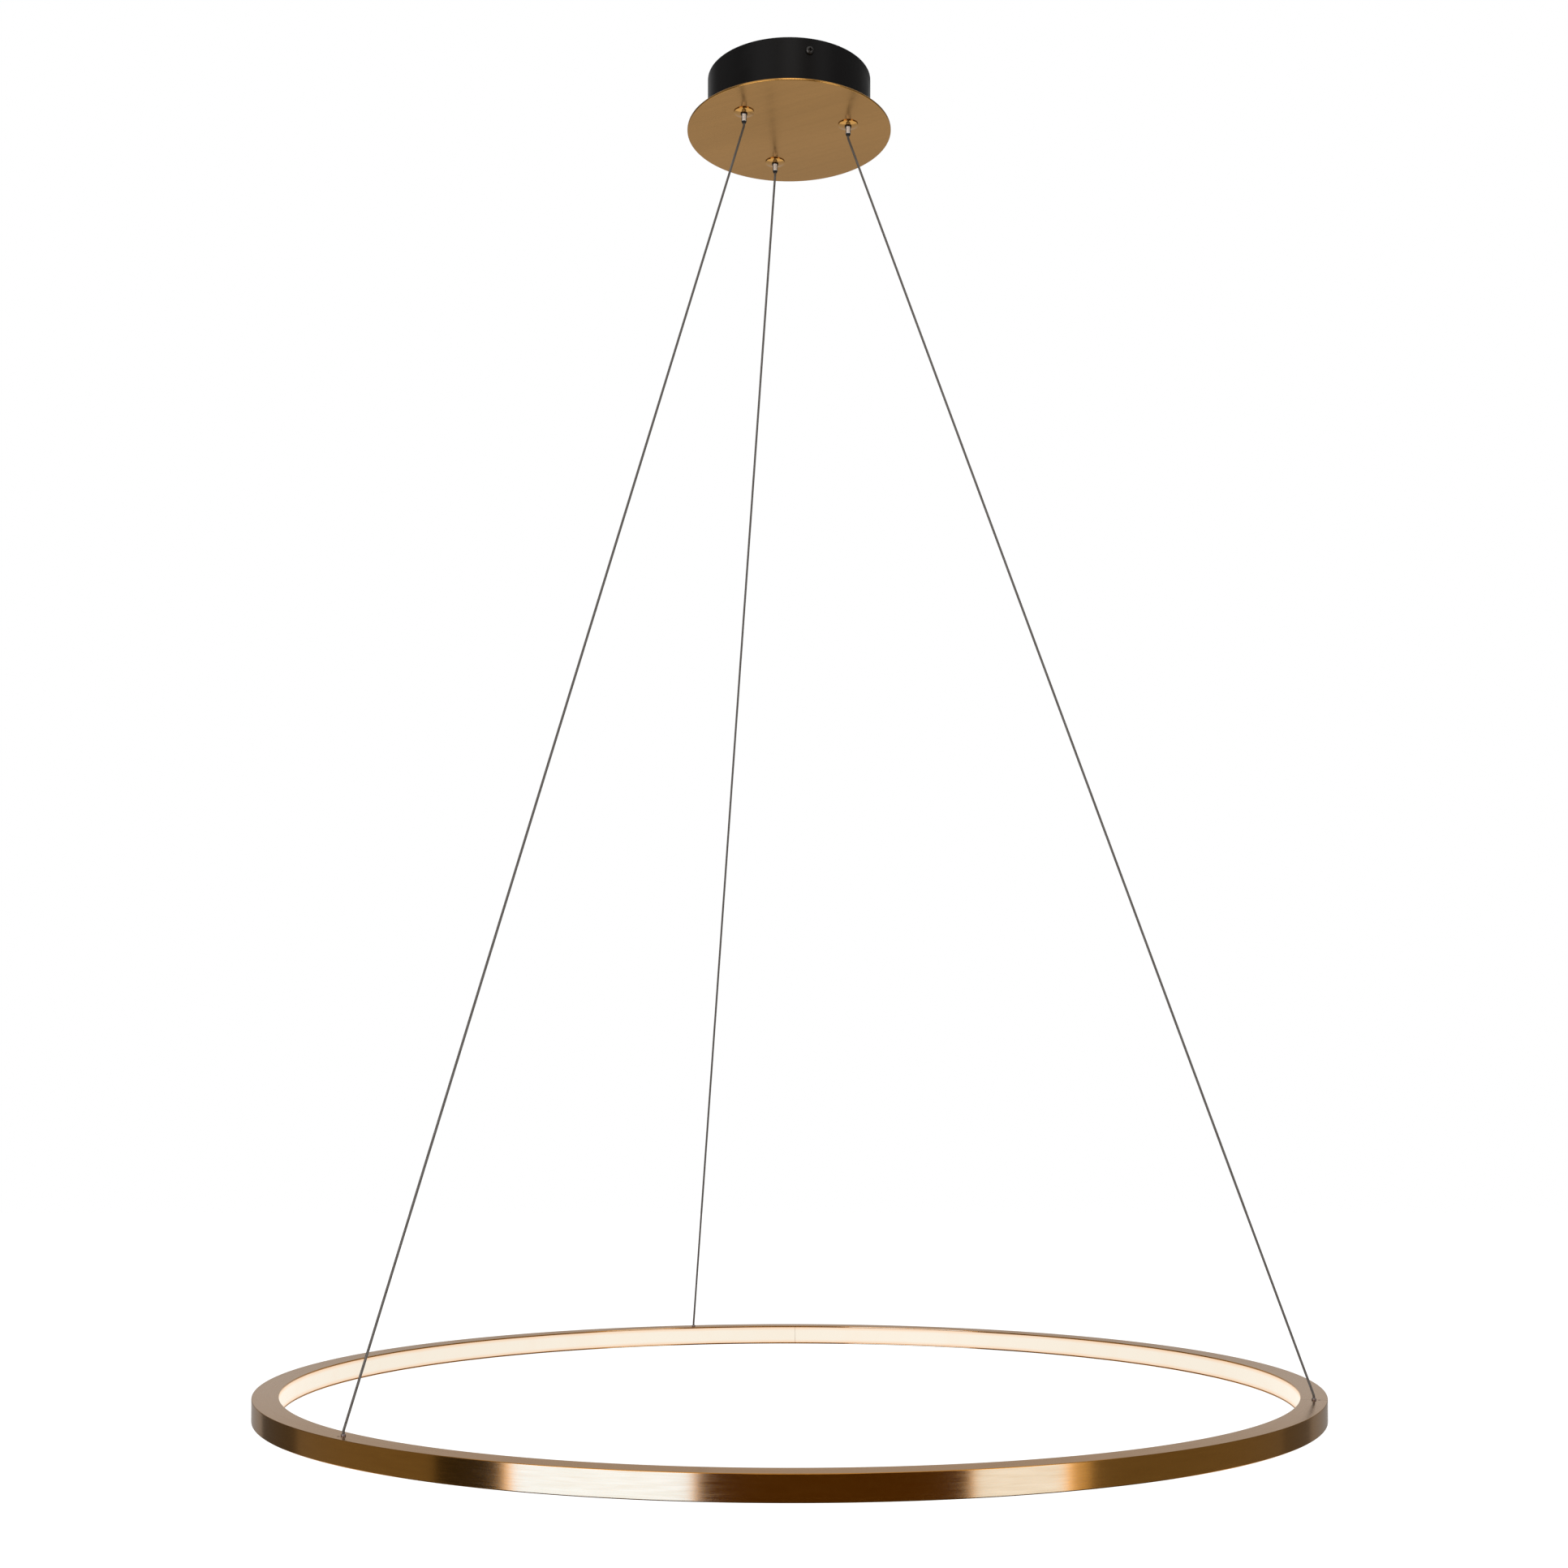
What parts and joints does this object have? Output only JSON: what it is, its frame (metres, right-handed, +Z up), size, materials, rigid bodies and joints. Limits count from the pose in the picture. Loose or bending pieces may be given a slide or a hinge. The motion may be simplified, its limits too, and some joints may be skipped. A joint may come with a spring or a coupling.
{
  "type": "led ring chandelier",
  "caption": "Large slim ring light with a lit inner face, hung level on three thin cables that spread from grippers in a round ceiling canopy with a wide thin plate.",
  "frame": {"origin": "centre of the ceiling face of the mounting bracket, midway between its two slots", "axes": "+Z up to the ceiling, along the chandelier's axis; X along the line of the bracket's two slots; -Y towards the viewer of the picture"},
  "size_m": [0.9999, 0.9999, 1.293],
  "materials": {
    "bronze_anodised": "satin, brushed round the ring",
    "black_lacquer": "satin black",
    "brushed_gold": "fine brushed",
    "zinc_steel": "zinc plated",
    "screw_steel": "bright",
    "black_screw": "blackened",
    "nickel": "satin nickel",
    "black_nylon": "matt",
    "cable_sheath": "smooth clear sheath over steel strands",
    "spring_steel": "drawn wire",
    "opal": "opal, lit warm white",
    "led_board": "white solder mask",
    "led_phosphor": "lit",
    "white_case": "moulded",
    "circuit_board": "solder mask",
    "wire_insulation": "extruded"
  },
  "bodies": {
    "canopy": {"ceiling_bracket": "zinc_steel", "canopy_housing": "black_lacquer", "canopy_plate": "brushed_gold", "housing_screws": "black_screw", "earth_screw": "screw_steel", "driver_case": "white_case", "driver_cover": "white_case", "driver_board": "circuit_board", "stud_nuts": "screw_steel", "mains_terminal": "white_case", "output_terminal": "white_case", "terminal_screws": "screw_steel", "internal_leads": "wire_insulation", "gripper_nuts": "nickel", "cable_stops": "nickel", "gripper_body_a": "brushed_gold", "gripper_body_b": "brushed_gold", "gripper_body_c": "brushed_gold", "guide_bush_a": "nickel", "guide_bush_b": "nickel", "guide_bush_c": "nickel", "gripper_cap_a": "nickel", "gripper_cap_b": "nickel", "gripper_cap_c": "nickel", "gripper_spring_a": "spring_steel", "gripper_spring_b": "spring_steel", "gripper_spring_c": "spring_steel", "cable_tail_a": "cable_sheath", "cable_tail_b": "cable_sheath", "cable_tail_c": "cable_sheath", "suspension_cable_a": "cable_sheath", "suspension_cable_b": "cable_sheath", "suspension_cable_c": "cable_sheath"},
    "plunger_a": {"gripper_plunger_a": "nickel", "nozzle_tip_a": "black_nylon", "gripper_balls_a": "screw_steel"},
    "plunger_b": {"gripper_plunger_b": "nickel", "nozzle_tip_b": "black_nylon", "gripper_balls_b": "screw_steel"},
    "plunger_c": {"gripper_plunger_c": "nickel", "nozzle_tip_c": "black_nylon", "gripper_balls_c": "screw_steel"},
    "ring": {"ring_channel": "bronze_anodised", "diffuser": "opal", "led_strip": "led_board", "led_chips": "led_phosphor", "seam_joiner": "zinc_steel", "joiner_screws": "black_screw", "lock_screws": "black_screw", "ring_leads": "wire_insulation", "anchor_plate_a": "zinc_steel", "anchor_plate_b": "zinc_steel", "anchor_plate_c": "zinc_steel", "anchor_nipple_a": "nickel", "anchor_nipple_b": "nickel", "anchor_nipple_c": "nickel", "cable_end_a": "cable_sheath", "cable_end_b": "cable_sheath", "cable_end_c": "cable_sheath"}
  },
  "joints": [
    {"name": "ring_height", "type": "slide", "parent": "canopy", "child": "ring", "axis": [0, 0, 1], "range_m": [0, 0.8], "deforming": ["suspension_cable_a", "suspension_cable_b", "suspension_cable_c"]},
    {"name": "gripper_release_a", "type": "slide", "parent": "canopy", "child": "plunger_a", "axis": [0, 0, 1], "range_m": [0, 0.003], "stiffness_N_per_m": 300, "springref_m": -0.003, "deforming": ["gripper_spring_a"]},
    {"name": "gripper_release_b", "type": "slide", "parent": "canopy", "child": "plunger_b", "axis": [0, 0, 1], "range_m": [0, 0.003], "stiffness_N_per_m": 300, "springref_m": -0.003, "deforming": ["gripper_spring_b"]},
    {"name": "gripper_release_c", "type": "slide", "parent": "canopy", "child": "plunger_c", "axis": [0, 0, 1], "range_m": [0, 0.003], "stiffness_N_per_m": 300, "springref_m": -0.003, "deforming": ["gripper_spring_c"]}
  ]
}
